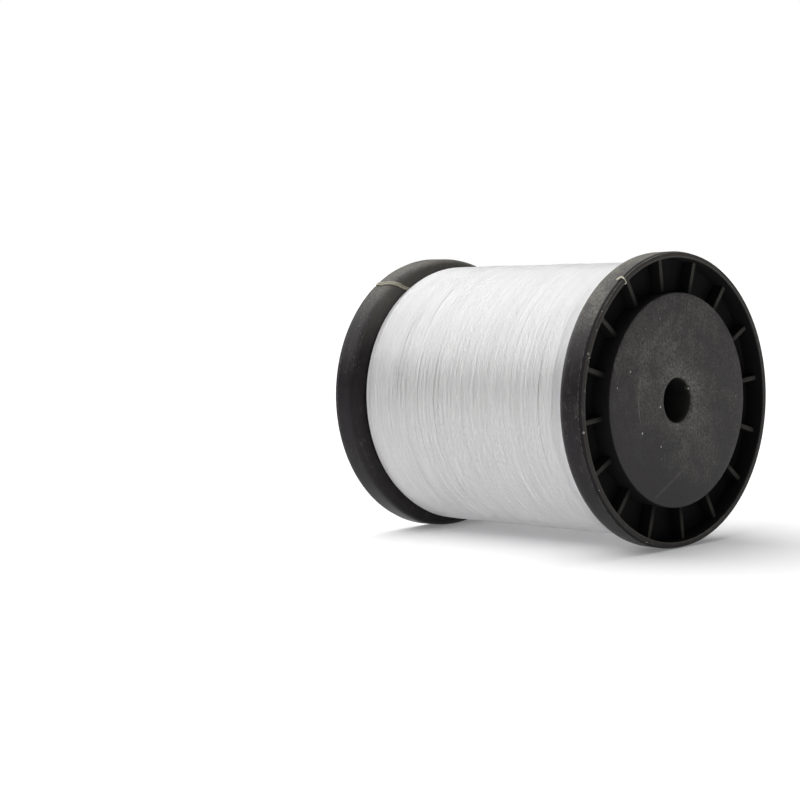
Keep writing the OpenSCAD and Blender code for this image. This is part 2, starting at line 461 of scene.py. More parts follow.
# Pale specks on the front hub disc: place as (towards +Y, up) from the axis, and size, all in mm, and
# strength
HUB_SPECKS = [
    (-36.6, 15.9, 0.42, 1.2), (-46.4, 8.7, 0.4, 0.8), (-46.4, 11.3, 0.3, 0.3), (-14.5, -2.4, 0.55, 1.5),
    (-28.6, -14.1, 0.55, 1.5), (-14.6, -21.7, 0.45, 1), (-13.5, 40.2, 0.4, 0.4), (-1.3, -11.9, 0.45, 0.8),
    (-22.9, -0.5, 0.4, 0.3), (-14.3, -27.7, 0.35, 0.35), (27.7, -32.9, 0.4, 0.35), (-24.7, 35.8, 0.35, 0.35),
    (46.0, -1.0, 0.4, 0.3), (17.5, -31.5, 0.35, 0.3)]

# Long marks on the front hub disc: start and end as (towards +Y, up) from the axis, and width, all in
# mm, and strength
HUB_SCRATCHES = [
    ((6.0, -32.2), (-19.7, -46.1), 1.1, 0.26),
    ((-23.7, -11.2), (-15.3, -16.7), 0.5, 0.08),
    ((-17.5, -15.4), (-12.4, -16.9), 0.5, 0.16),
    ((-14.5, -21.9), (-12.5, -18.9), 0.4, 0.34),
    ((0.9, 28.5), (-14.2, 19.5), 2.2, 0.22),
    ((-5.0, 40.5), (-12.5, 35.5), 2.5, 0.16),
    ((-12.5, 35.5), (-19.0, 28.4), 2.5, 0.2),
    ((8.0, 30.0), (14.5, 12.0), 0.6, 0.1),
]

# Dusty patches on the front hub disc, given in the same way
HUB_PATCHES = [
    ((15.0, -14.0), (24.0, -28.0), 12, 0.55),
    ((-26.0, 6.0), (-22.0, -6.0), 10, 0.7),
    ((-20.0, 26.0), (-5.0, 20.0), 11, 0.7),
    ((-11.0, 12.0), (3.0, 15.5), 5, 0.4),
]


def hub_plastic(finish, moulding):
    """Black plastic of the hub discs: cloudy scuffs, fine scratches, specks, a mouth rubbed pale with a
    painted highlight towards +Y and below, painted light on the lower bore wall and painted shade inside the
    bore
    """
    shader = Shader(bpy.data.materials.new("hub_plastic"))
    place, depth, radius, angle = polar(shader)
    x, across, height = shader.split(place)
    up = height - AXIS_HEIGHT
    bore = moulding.bore_radius
    front = x.rise(-1 * MM, 1 * MM)
    cloud = shader.noise(place, 26 * MM, 6, 0.62)
    blotch = shader.noise(place, 7 * MM, 7, 0.72)
    grain = shader.noise(shader.join(x, across, up * 0.8), 1.15 * MM, 4, 0.9)
    patch = shader.noise(place, 13 * MM, 4, 0.6)
    fine = shader.noise(place, 0.4 * MM, 2, 0.5)
    swirl = shader.noise(shader.join(x, radius * 6, angle * (20 * MM)), 16 * MM, 6, 0.72)
    brush = brushed(shader, place, 0.2, 1.5 * MM, 7)
    hair = brushed(shader, place, 0.26, 0.8 * MM, 26)
    cross = brushed(shader, place, -0.8, 0.9 * MM, 22)

    upper = (across * 0.5 + up * 0.5 + 11 * MM + (cloud - 0.5) * (80 * MM)).rise(-16 * MM, 14 * MM)
    dust_and_lit_ring = upper * (0.25 + 0.45 * blotch.rise(0.42, 0.6) + 0.5 * patch.rise(0.48, 0.62))
    mouth = radius.rise(bore + 15 * MM, bore + 5 * MM)
    # Painted highlight: a lit ring round the bore's mouth, strongest towards +Y and below the axis, added to
    # the disc's dusting
    ring = radius.rise(bore + 7 * MM, bore + 1 * MM)
    dust_and_lit_ring = dust_and_lit_ring + mouth * (0.3 + 0.7 * blotch.rise(0.36, 0.56)) * (0.35 + 0.45 * upper)
    dust_and_lit_ring = dust_and_lit_ring + ring * ((across - up * 0.6).rise(-12 * MM, 9 * MM) * 1.1 + 0.15)
    dust_and_lit_ring = dust_and_lit_ring + swirl.rise(0.55, 0.7) * 0.3 * (0.2 + 0.8 * upper)
    for start, end, width, share in HUB_PATCHES:
        dust_and_lit_ring = dust_and_lit_ring + stroke(across, up, start, end, width * MM) * front * share
    dust_and_lit_ring = dust_and_lit_ring + radius.near(WEAR_RADIUS, 3.5 * MM) * angle.near(1.35, 0.75) * front * 0.5
    dust_and_lit_ring = dust_and_lit_ring * up.rise(-47 * MM, -36 * MM) * (1 - across.rise(18 * MM, 38 * MM) * 0.4)
    texture = 0.05 + grain.rise(0.42, 0.58) * 0.85 + brush.rise(0.42, 0.66) * 0.1
    lines = (hair.rise(0.58, 0.7) * 0.14 + cross.rise(0.6, 0.72) * 0.1) * (0.3 + 0.7 * upper)
    # Rubbing and scuffs with the painted lit ring; the painted light on the bore wall is added further down
    wear_and_painted_light = 0.01 + grain.rise(0.42, 0.64) * 0.09 + dust_and_lit_ring * texture * 0.5 + lines
    marks = radius.near(WEAR_RADIUS + 0.4 * MM, 0.6 * MM) * angle.near(1.66, 0.36) * 0.6
    broken = 0.4 + 0.6 * blotch.rise(0.35, 0.6)
    for start, end, width, share in HUB_SCRATCHES:
        marks = marks + stroke(across, up, start, end, width * MM) * share * broken
    wear_and_painted_light = wear_and_painted_light + marks * front
    # The bore past its rounding and the hub's side wall keep the darker clean plastic and no rubbing: partly
    # plastic left clean, partly painted shade in these recesses
    inside = depth.rise(moulding.mouth_radius * 0.7, moulding.mouth_radius * 1.3)
    inside = inside + radius.rise(HUB_RADIUS - 0.2 * MM, HUB_RADIUS)
    outside = 1 - inside.at_most(1)
    flash = radius.rise(bore - 0.1 * MM, bore - 0.4 * MM) * depth.rise(6 * MM, 5 * MM)
    soft_edge = radius.rise(bore + 1.2 * MM, bore + 0.3 * MM) * depth.rise(5 * MM, 0.8 * MM)
    # Painted light on the bore's wall near the mouth, on its lower side, on the front disc only
    wall = radius.rise(bore + 0.5 * MM, bore + 0.1 * MM) * depth.rise(70 * MM, 20 * MM) * front
    wall = wall * (across * 0.3 - up).rise(0, 8 * MM)
    wear_and_painted_light = (wear_and_painted_light * outside + flash * 0.3 + soft_edge * (0.04 + 0.06 * upper) + wall * 0.1).at_most(1)

    dots = specks(shader, place, 7 * MM, 0.4 * MM, 0.2) + specks(shader, place, 2.6 * MM, 0.17 * MM, 0.16)
    for y, z, size, share in HUB_SPECKS:
        dots = dots + stroke(across, up, (y, z), (y + 0.1, z + 0.25), size * MM) * front * share
    # Painted shade, in part: the bore and the hub's side wall take the darker plastic
    colour = shader.blend(outside, finish.clean_and_shaded_plastic, finish.disc_plastic)
    colour = shader.blend(wear_and_painted_light, colour, finish.scuffed_and_lit_plastic)
    colour = shader.blend((dots * outside).at_most(1), colour, finish.pale_dust)
    relief = grain * 0.6 + fine * 0.25 + blotch * 0.5 - wear_and_painted_light * 0.3
    bump = shader.relief(relief, 0.35, 0.12 * MM)
    rough = 0.42 + wear_and_painted_light * 0.3 + (1 - outside) * 0.25 + grain * 0.06
    return shader.surface(Base_Color=colour, Roughness=rough, IOR=1.38, Normal=bump)


NYLON_IOR = 1.53


def wound_line(name, finish, shade, spread):
    """Clear nylon: many thin layers of it look milky, and light spreads some way between them"""
    shader = Shader(bpy.data.materials.new(name))
    colour = [part * shade for part in finish.clear_line]
    return shader.surface(
        Base_Color=colour, Roughness=0.4, IOR=NYLON_IOR,
        Coat_Weight=1.0, Coat_Roughness=0.35, Coat_IOR=1.9, Coat_Tint=(0.985, 0.985, 0.993),
        Subsurface_Weight=1.0, Subsurface_Radius=(1.0, 1.0, 1.05), Subsurface_Scale=spread)


def line_end(name, colour):
    """Handled line, paler along rubbed stretches"""
    shader = Shader(bpy.data.materials.new(name))
    place = shader.place()
    wear = shader.noise(place, 1.4 * MM, 4, 0.6)
    fine = shader.noise(place, 0.25 * MM, 2, 0.5)
    tint = shader.blend(wear.rise(0.35, 0.7), colour, [min(1, 1.35 * part) for part in colour])
    bump = shader.relief(fine, 0.3, 0.05 * MM)
    return shader.surface(
        Base_Color=tint, Roughness=0.3 + wear * 0.2, IOR=NYLON_IOR, Subsurface_Weight=0.3,
        Subsurface_Radius=(1.0, 1.0, 0.9), Subsurface_Scale=0.4 * MM, Normal=bump)


# ---------------------------------------------------------------- meshes

def add_piece(name, mesh, materials, smooth_angle=35):
    """Makes a piece of the spool from a mesh and lets it ride on the CAD body"""
    piece = bpy.data.objects.new(name, mesh)
    bpy.context.scene.collection.objects.link(piece)
    for material in materials:
        mesh.materials.append(material)
    mesh.shade_smooth()
    mesh.set_sharp_from_angle(angle=math.radians(smooth_angle))
    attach(piece, BODY)
    return piece


def mesh_of(name, vertices, faces):
    """Mesh from places and from the indices of its faces' corners"""
    mesh = bpy.data.meshes.new(name)
    mesh.from_pydata(vertices, [], faces)
    mesh.validate()
    mesh.update()
    return mesh


def rounded(corners, steps=5):
    """Profile with its corners rounded; a corner is (radius from the axis, x, rounding)"""
    points = []
    count = len(corners)
    for i, (r, x, rounding) in enumerate(corners):
        here = Vector((r, x))
        if not rounding:
            points.append(here)
            continue
        back = (Vector(corners[i - 1][:2]) - here).normalized()
        ahead = (Vector(corners[(i + 1) % count][:2]) - here).normalized()
        half = back.angle(ahead) / 2
        reach = rounding / math.tan(half)
        centre = here + (back + ahead).normalized() * (rounding / math.sin(half))
        start, end = here + back * reach - centre, here + ahead * reach - centre
        turn = start.angle_signed(end)
        for step in range(steps + 1):
            arm = start.copy()
            arm.rotate(Matrix.Rotation(-turn * step / steps, 2))
            points.append(centre + arm)
    return points


def split_long(points, longest):
    """Adds points to a closed profile so that no stretch is longer than longest"""
    result = []
    for i, here in enumerate(points):
        ahead = points[(i + 1) % len(points)]
        parts = max(1, math.ceil((ahead - here).length / longest))
        result += [here.lerp(ahead, part / parts) for part in range(parts)]
    return result


def lathe(name, profile, segments):
    """Turns a closed profile of (radius, x) about the spool's axis"""
    r = np.array([point[0] for point in profile])
    x = np.array([point[1] for point in profile])
    angle = np.arange(segments)[:, None] * (2 * math.pi / segments)
    places = on_spool(x, r, angle).reshape(-1, 3)
    return mesh_of(name, places, grid_faces(segments, len(profile), True, True))


def grid_faces(rows, columns, wrap_rows, wrap_columns):
    """Faces of a grid of vertices, as an array of four indices each"""
    row = np.arange(rows if wrap_rows else rows - 1)[:, None]
    column = np.arange(columns if wrap_columns else columns - 1)[None, :]
    next_row, next_column = (row + 1) % rows, (column + 1) % columns
    corners = [row * columns + column, row * columns + next_column,
               next_row * columns + next_column, next_row * columns + column]
    return np.stack(np.broadcast_arrays(*corners), -1).reshape(-1, 4).tolist()


def sweep(paths, radius, sides, guides=None):
    """Vertices and faces of closed tubes along paths; guides are directions across each path"""
    vertices, faces, start = [], [], 0
    turn = (np.arange(sides) + 0.5) * (2 * math.pi / sides)
    for number, path in enumerate(paths):
        path = np.asarray(path, float)
        tangent = unit(np.gradient(path, axis=0))
        guide = outwards(path) if guides is None else np.broadcast_to(guides[number], path.shape)
        out = unit(guide - tangent * (guide * tangent).sum(1)[:, None])
        side = np.cross(tangent, out)
        width = np.broadcast_to(radius, (len(path),))[:, None, None]
        ring = out[:, None] * np.cos(turn)[None, :, None] + side[:, None] * np.sin(turn)[None, :, None]
        vertices.append((path[:, None] + width * ring).reshape(-1, 3))
        count = len(path)
        faces += (np.array(grid_faces(count, sides, False, True))[:, ::-1] + start).tolist()
        faces.append([start + i for i in range(sides)])
        faces.append([start + (count - 1) * sides + i for i in reversed(range(sides))])
        start += count * sides
    return np.concatenate(vertices), faces


def unit(rows):
    """The same directions, each with a length of 1"""
    return rows / np.linalg.norm(rows, axis=1)[:, None]


def outwards(path):
    """Directions straight away from the spool's axis"""
    arm = path - np.array([0, 0, AXIS_HEIGHT])
    arm[:, 0] = 0
    return unit(arm)


def round_rim(angle):
    """Direction round the spool at an angle, towards larger angles"""
    return np.array([0, -math.cos(angle), -math.sin(angle)])


def on_spool(x, r, angle):
    """Places at x along the axis, r from it and at an angle from the top towards -Y"""
    x, r, angle = np.broadcast_arrays(x, r, angle)
    return np.stack([x, -r * np.sin(angle), AXIS_HEIGHT + r * np.cos(angle)], axis=-1)


def combine(body, tool, operation):
    """Mesh of two objects after a boolean; both objects are removed"""
    modifier = body.modifiers.new("combine", "BOOLEAN")
    modifier.operation = operation
    modifier.solver = "EXACT"
    modifier.object = tool
    graph = bpy.context.evaluated_depsgraph_get()
    result = bpy.data.meshes.new_from_object(body.evaluated_get(graph))
    for used in (body, tool):
        bpy.data.objects.remove(used)
    return result


def loose_object(mesh):
    """Object for a mesh, not yet a piece of the spool"""
    made = bpy.data.objects.new(mesh.name, mesh)
    bpy.context.scene.collection.objects.link(made)
    return made


def joined(name, parts):
    """One mesh from several parts, each given as its vertices and faces"""
    vertices, faces = [], []
    for places, loops in parts:
        start = len(vertices)
        vertices += [tuple(place) for place in places]
        faces += [[start + i for i in loop] for loop in loops]
    return mesh_of(name, vertices, faces)


# ---------------------------------------------------------------- end mouldings

# Sides of the turned mouldings, and the longest stretch of a profile between two rings
FLANGE_SIDES, HUB_SIDES = 360, 288
FLANGE_RING, HUB_RING = 2.5 * MM, 3 * MM

# Ribs: half the foot's thickness as a share of the top's thickness, rounding, and rings along a rib
RIB_LEAN, RIB_ROUNDING, RIB_RINGS = 0.58, 0.35 * MM, 12

# How far round from the line's end angle each end of it crosses its rim
FRONT_TURN, REAR_TURN = math.radians(-0.4), math.radians(0.8)

# Width and depth of the nick that each end of the line has in its rim, in line diameters
FRONT_NICK, REAR_NICK = (1.15, 1.02), (3.1, 1.8)

# Hole for the finishing end: its radius, and how far inside the rim's foot its middle is
HOLE_RADIUS, HOLE_INSET = 0.65 * MM, 0.8 * MM


def flange_profile(moulding):
    """Outline of a flange on one side of the axis"""
    face = HALF_LENGTH
    web_in = face - FLANGE_WIDTH
    web_out = web_in + moulding.web_thickness
    rim_inside = FLANGE_RADIUS - moulding.rim_thickness
    nose_radius = FLANGE_RADIUS - moulding.nose_step
    edge = moulding.edge_radius
    return rounded([
        (BARREL_RADIUS, web_in, 0),
        (FLANGE_RADIUS - moulding.band_draft, web_in, moulding.shoulder_radius),
        (FLANGE_RADIUS, face - moulding.nose_length, 0.6 * MM),
        (nose_radius, face, edge),
        (rim_inside, face, edge),
        (rim_inside - moulding.wall_draft, web_out, 0.9 * MM),
        (BARREL_RADIUS, web_out, 0),
    ])


def rib_mesh(moulding):
    """All ribs: bars with leaning sides and a rounded top, from the hub to inside the rim"""
    foot = HALF_LENGTH - FLANGE_WIDTH + moulding.web_thickness / 2
    top = HALF_LENGTH - moulding.rib_recess
    half_top, half_foot = moulding.rib_thickness / 2, moulding.rib_thickness * RIB_LEAN
    outline = [(-half_foot, foot), (half_foot, foot)]
    for sign in (1, -1):
        for step in range(4):
            angle = math.pi / 6 * (step if sign > 0 else 3 - step)
            outline.append((
                sign * (half_top - RIB_ROUNDING + RIB_ROUNDING * math.cos(angle)),
                top - RIB_ROUNDING + RIB_ROUNDING * math.sin(angle)))
    inner, outer = HUB_RADIUS - 1 * MM, FLANGE_RADIUS - moulding.rim_thickness / 2
    rings = np.linspace(inner, outer, RIB_RINGS)
    parts = []
    for number in range(moulding.rib_count):
        turn = moulding.rib_phase + number * 2 * math.pi / moulding.rib_count
        out = np.array([0, -math.sin(turn), math.cos(turn)])
        across = round_rim(turn)
        axis = np.array([1, 0, 0])
        centre = np.array([0, 0, AXIS_HEIGHT])
        places = [centre + out * ring + across * w + axis * x for ring in rings for w, x in outline]
        size = len(outline)
        loops = grid_faces(len(rings), size, False, True)
        loops += [list(reversed(range(size))), [(len(rings) - 1) * size + i for i in range(size)]]
        parts.append((places, loops))
    return joined("ribs", parts)


def pebble(place, size, seed, waves=1.3, roughness=0.5):
    """Small rough lump: it knocks a chip out of an edge, or is a lump of flash"""
    lump = bmesh.new()
    bmesh.ops.create_icosphere(lump, subdivisions=2, radius=1)
    for vertex in lump.verts:
        away = noise.noise(vertex.co * waves + Vector((seed, 0, 0)))
        vertex.co = vertex.co * (1 + roughness * away)
        vertex.co = Vector(place) + Vector([size[i] * vertex.co[i] for i in range(3)])
    places = [tuple(v.co) for v in lump.verts]
    loops = [[v.index for v in face.verts] for face in lump.faces]
    lump.free()
    return places, loops


def slot(places, across, half_width):
    """Bar with a four-cornered side, square to across, used to cut a nick"""
    across = np.asarray(across) * half_width
    corners = [np.asarray(place) + side * across for side in (-1, 1) for place in places]
    return corners, [(3, 2, 1, 0), (4, 5, 6, 7), (1, 5, 4, 0), (2, 6, 5, 1), (3, 7, 6, 2), (0, 4, 7, 3)]


def rod(start, end, radius, sides=24):
    """Round bar used to cut a hole"""
    return sweep([[start, end]], radius, sides, [np.array([0.0, 1.0, 0.3])])


# Knocks in the rims: (angle in degrees, distance from the axis, size), the last two in mm; and how
# long, wide and high a knock is as shares of its size
KNOCK_SHAPE = (1.1, 0.8, 0.9)
FRONT_KNOCKS = [
    (68.6, 71.4, 0.65), (70.4, 69.9, 0.95), (82.6, 69.7, 0.7), (98.2, 71.9, 0.62), (122, 71.9, 0.25),
    (12, 72.2, 0.35), (-24, 72.0, 0.4), (-75, 71.9, 0.45), (-140, 72.1, 0.5), (158, 71.8, 0.4),
    (51, 72.1, 0.3)]
REAR_KNOCKS = [(20, 72.1, 0.4), (75, 72.2, 0.45), (-60, 71.9, 0.5), (-118, 72.1, 0.35), (170, 72.0, 0.45)]


def line_nick(moulding, turn, width, depth):
    """Bar that cuts the line's nick in the rim"""
    face = HALF_LENGTH
    below, above = FLANGE_RADIUS - moulding.rim_thickness - 2 * MM, FLANGE_RADIUS + 2 * MM
    corners = [(face - depth, below), (face + MM, below), (face + MM, above), (face - depth, above)]
    return slot([on_spool(x, r, turn) for x, r in corners], round_rim(turn), width / 2)


def line_hole(moulding, turn):
    """Bar that cuts the finishing end's hole in the web"""
    web_in = HALF_LENGTH - FLANGE_WIDTH
    web_out = web_in + moulding.web_thickness
    r = hole_place(moulding)
    return rod(on_spool(web_in - 2 * MM, r, turn), on_spool(web_out + 1 * MM, r, turn), HOLE_RADIUS)


def hole_place(moulding):
    """Distance of the finishing end's hole from the axis"""
    return FLANGE_RADIUS - moulding.rim_thickness - moulding.wall_draft - HOLE_INSET


def flange(name, moulding, knocks, line_cuts):
    """Flange in place at the front, with its knocks and what is cut in it for the line"""
    profile = split_long(flange_profile(moulding), FLANGE_RING)
    body = loose_object(lathe("flange_body", profile, FLANGE_SIDES))
    mesh = loose_object(combine(body, loose_object(rib_mesh(moulding)), "UNION"))
    cutters = []
    for number, (degrees, r, size) in enumerate(knocks):
        place = on_spool(HALF_LENGTH - 0.1 * MM, r * MM, math.radians(degrees))
        cutters.append(pebble(place, [size * MM * share for share in KNOCK_SHAPE], number))
    for number, part in enumerate(cutters + line_cuts):
        cutter = loose_object(joined(f"cutter_{number}", [part]))
        mesh = loose_object(combine(mesh, cutter, "DIFFERENCE"))
    result = mesh.data
    bpy.data.objects.remove(mesh)
    result.name = name
    result.materials.clear()
    return result


def turned_round(mesh):
    """Mirrors a front-end mesh to the rear end"""
    mesh.transform(Matrix.Scale(-1, 4, (1, 0, 0)))
    mesh.flip_normals()
    return mesh


def hub_mesh(name, moulding):
    """Hub disc in place at the front, with its wall and the socket for the spindle tube"""
    face = HALF_LENGTH
    back = face - moulding.disc_thickness
    bore = moulding.bore_radius
    socket = TUBE_RADIUS + 2.5 * MM
    pocket_floor = face - FLANGE_WIDTH + moulding.web_thickness
    socket_end = face - CAP_REACH
    profile = rounded([
        (bore, TUBE_REACH, 0),
        (bore, face, moulding.mouth_radius),
        (HUB_RADIUS, face, moulding.edge_radius),
        (HUB_RADIUS, pocket_floor, 0),
        (BARREL_RADIUS, pocket_floor, 0),
        (BARREL_RADIUS, back, 0.4 * MM),
        (socket, back, 0.6 * MM),
        (socket, socket_end, 0.3 * MM),
        (TUBE_RADIUS, socket_end, 0),
        (TUBE_RADIUS, TUBE_REACH, 0),
    ])
    return lathe(name, split_long(profile, HUB_RING), HUB_SIDES)


# Where a lump of flash is left in the bore, as depth and angle, and its size
FLASH_DEPTH, FLASH_TURN = 2.5 * MM, math.radians(-59.4)
FLASH_SIZE = [1.6 * MM, 1.0 * MM, 1.3 * MM]


def add_flash(disc, moulding):
    """Torn lump of flash left in the rounding of the bore's mouth"""
    place = on_spool(HALF_LENGTH - FLASH_DEPTH, moulding.bore_radius + 0.25 * MM, FLASH_TURN)
    lump = loose_object(joined("flash", [pebble(place, FLASH_SIZE, 7)]))
    mesh = combine(loose_object(disc), lump, "UNION")
    mesh.materials.clear()
    return mesh


class SPOOL_OT_flanges(bpy.types.Operator):
    """Build the two flanges with their ribs, worn edges and line nicks"""

    bl_idname = "spool.flanges"
    bl_label = "Flanges"

    def execute(self, context):
        moulding, line = context.scene.spool_moulding, context.scene.spool_line
        plastic = flange_plastic(context.scene.spool_finish, moulding)
        front_turn, rear_turn = line.end_angle + FRONT_TURN, line.end_angle + REAR_TURN
        front_nick = line_nick(moulding, front_turn, *[share * line.diameter for share in FRONT_NICK])
        rear_nick = line_nick(moulding, rear_turn, *[share * line.diameter for share in REAR_NICK])
        hole = line_hole(moulding, front_turn)
        front = flange("front_flange_moulding", moulding, FRONT_KNOCKS, [front_nick, hole])
        rear = turned_round(flange("rear_flange_moulding", moulding, REAR_KNOCKS, [rear_nick]))
        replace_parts(add_piece("front_flange_moulding", front, [plastic]), "front_flange")
        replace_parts(add_piece("rear_flange_moulding", rear, [plastic]), "rear_flange")
        return {"FINISHED"}


class SPOOL_OT_hub(bpy.types.Operator):
    """Build the two hub discs, and finish the spindle tube and the barrel"""

    bl_idname = "spool.hub"
    bl_label = "Hub"

    def execute(self, context):
        moulding, finish = context.scene.spool_moulding, context.scene.spool_finish
        plastic = hub_plastic(finish, moulding)
        front = add_flash(hub_mesh("front_hub_disc", moulding), moulding)
        front.name = "front_hub_disc"
        rear = turned_round(hub_mesh("rear_hub_disc", moulding))
        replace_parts(add_piece("front_hub_disc", front, [plastic]), "front_hub_cap")
        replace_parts(add_piece("rear_hub_disc", rear, [plastic]), "rear_hub_cap")
        for node in ("barrel", "spindle_tube"):
            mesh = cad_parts[node].data
            mesh.materials.clear()
            mesh.materials.append(plastic)
        return {"FINISHED"}


# ---------------------------------------------------------------- wound line

# Points of a strand in one turn, and its sides
TURN_POINTS, STRAND_SIDES = 120, 6

# Pitch of the close turns in line diameters, and depths of the strands in radii below the surface
CLOSE_PITCH = 0.92
CLOSE_DEPTH, OPEN_DEPTH = 1.1, 1.21

# How far a strand wanders along the winding and into it
WANDER_ALONG, WANDER_DEEP = 0.08 * MM, 0.022 * MM

# Depth of the body's surface in radii of the line, and its columns and rows
BODY_DEPTH = 0.5
BODY_COLUMNS, BODY_ROWS = 240, 360

# Unevenness: how many sets of waves, how many waves of the first fit in the winding's length, the ratio
# from one set to the next, and the number of waves above which a set is low
WAVE_SETS, FEWEST_WAVES, WAVE_RATIO, WAVE_LIMIT = 27, 0.7, 1.17, 14

# Shades of the wound line, and how far light spreads in a strand and in the body under the strands
LINE_SHADES = (1.0, 0.97, 0.945)
STRAND_SPREAD, BODY_SPREAD = 1.6 * MM, 4 * MM


class Lay:
    """The winding's surface and the strands that lie in it"""

    def __init__(self, line):
        self.line = line
        self.random = np.random.default_rng(line.seed)
        self.radius = line.diameter / 2
        self.reach = WINDING_REACH - self.radius
        self.waves = [(
            FEWEST_WAVES * WAVE_RATIO ** number, self.random.integers(-3, 4),
            self.random.uniform(0, 2 * math.pi)) for number in range(WAVE_SETS)]

    def surface(self, x, angle, reach=WINDING_REACH):
        """Distance of the winding's surface from the axis; strands round off half a strand sooner"""
        line = self.line
        inset = np.clip((np.abs(x) - (reach - line.end_rounding)) / line.end_rounding, 0, 1)
        drop = line.end_drop * (1 - np.sqrt(1 - np.minimum(inset, 0.999) ** 2))
        return WINDING_RADIUS - drop + line.lump * self.uneven(x, angle)

    def uneven(self, x, angle):
        """Slow unevenness, mostly in bands that run round the winding"""
        along = x * (math.pi / WINDING_REACH)
        total = sum(
            np.sin(waves * along + turns * angle + phase) / (1 + waves / WAVE_LIMIT)
            for waves, turns, phase in self.waves)
        return total / math.sqrt(len(self.waves))

    def wander(self, points, step, amount):
        """Random smooth wander along a strand: one value per knot, eased between knots"""
        knots = self.random.normal(0, amount, points // step + 3)
        where = np.arange(points) / step
        low = where.astype(int)
        share = where - low
        share = share * share * (3 - 2 * share)
        return knots[low] * (1 - share) + knots[low + 1] * share

    def helix(self, start, pitch, turns, sunk):
        """One strand from start, a depth of sunk radii below the surface; it turns back at the ends"""
        steps = np.arange(int(turns * TURN_POINTS) + 1)
        turned = steps / TURN_POINTS
        x = start + pitch * turned + self.wander(len(steps), TURN_POINTS // 3, WANDER_ALONG)
        x = self.reach - np.abs((x + self.reach) % (4 * self.reach) - 2 * self.reach)
        angle = 2 * math.pi * (turned + self.random.random())
        depth = sunk * self.radius + self.wander(len(steps), TURN_POINTS // 4, WANDER_DEEP)
        return on_spool(x, self.surface(x, angle, self.reach) - depth, angle)

    def close_turns(self, first, last):
        """Strand wound turn against turn, between two shares of the winding's length"""
        pitch = self.line.diameter * CLOSE_PITCH
        start, end = (self.reach * (2 * share - 1) for share in (first, last))
        return self.helix(start, pitch, (end - start) / pitch, CLOSE_DEPTH)

    def open_turns(self, direction):
        """Strand laid from one end to the other, with gaps between its turns"""
        pitch = self.line.open_pitch * self.random.uniform(0.8, 1.2)
        return self.helix(-self.reach * direction, pitch * direction, 2 * self.reach / pitch, OPEN_DEPTH)

    def body(self):
        """Closed body of line just under the strands, with their bands in its surface"""
        x = np.linspace(-WINDING_REACH, WINDING_REACH, BODY_COLUMNS)[None, :]
        angle = (np.arange(BODY_ROWS) * (2 * math.pi / BODY_ROWS))[:, None]
        r = self.surface(x, angle) - BODY_DEPTH * self.radius
        inner = np.full_like(r, BARREL_RADIUS)
        x = np.broadcast_to(x, r.shape)
        r = np.concatenate([inner[:, :1], r, inner[:, -1:]], axis=1)
        x = np.concatenate([x[:, :1], x, x[:, -1:]], axis=1)
        faces = grid_faces(BODY_ROWS, BODY_COLUMNS + 2, True, True)
        return on_spool(x, r, angle).reshape(-1, 3), faces


class SPOOL_OT_winding(bpy.types.Operator):
    """Wind the line: close turns, and open turns over them"""

    bl_idname = "spool.winding"
    bl_label = "Winding"

    def execute(self, context):
        line, finish = context.scene.spool_line, context.scene.spool_finish
        lay = Lay(line)
        shades = [wound_line(f"wound_line_{number}", finish, shade, STRAND_SPREAD)
                  for number, shade in enumerate(LINE_SHADES)]
        inner = wound_line("wound_line_inner", finish, 1.0, BODY_SPREAD)
        strands = {
            "close_turns_rear": [lay.close_turns(0, 0.5)],
            "close_turns_front": [lay.close_turns(0.5, 1)],
        }
        for number in range(line.open_layers):
            strands[f"open_turns_{number + 1}"] = [lay.open_turns(1 - 2 * (number % 2)) for _ in range(2)]
        for name, paths in strands.items():
            mesh = mesh_of(name, *sweep(paths, lay.radius, STRAND_SIDES))
            self.shade_by_turns(mesh, lay, len(shades))
            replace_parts(add_piece(name, mesh, shades, 60), "line_winding")
        mesh = mesh_of("winding_body", *lay.body())
        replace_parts(add_piece("winding_body", mesh, [inner], 60), "line_winding")
        return {"FINISHED"}

    @staticmethod
    def shade_by_turns(mesh, lay, count):
        """Gives each run of two turns one of the line's shades"""
        run = 2 * TURN_POINTS * STRAND_SIDES
        picks = lay.random.integers(0, count, len(mesh.polygons) // run + 1)
        mesh.polygons.foreach_set("material_index", np.repeat(picks, run)[:len(mesh.polygons)])


# ---------------------------------------------------------------- line ends

def smooth_path(points, steps=8):
    """Curve through points, as Catmull-Rom pieces"""
    points = [np.asarray(p, float) for p in points]
    points = [2 * points[0] - points[1], *points, 2 * points[-1] - points[-2]]
    curve = []
    for a, b, c, d in zip(points, points[1:], points[2:], points[3:]):
        for step in range(steps):
            t = step / steps
            curve.append(0.5 * (2 * b + (c - a) * t + (2 * a - 5 * b + 4 * c - d) * t * t
                                + (3 * b - a - 3 * c + d) * t ** 3))
    curve.append(points[-2])
    return np.array(curve)


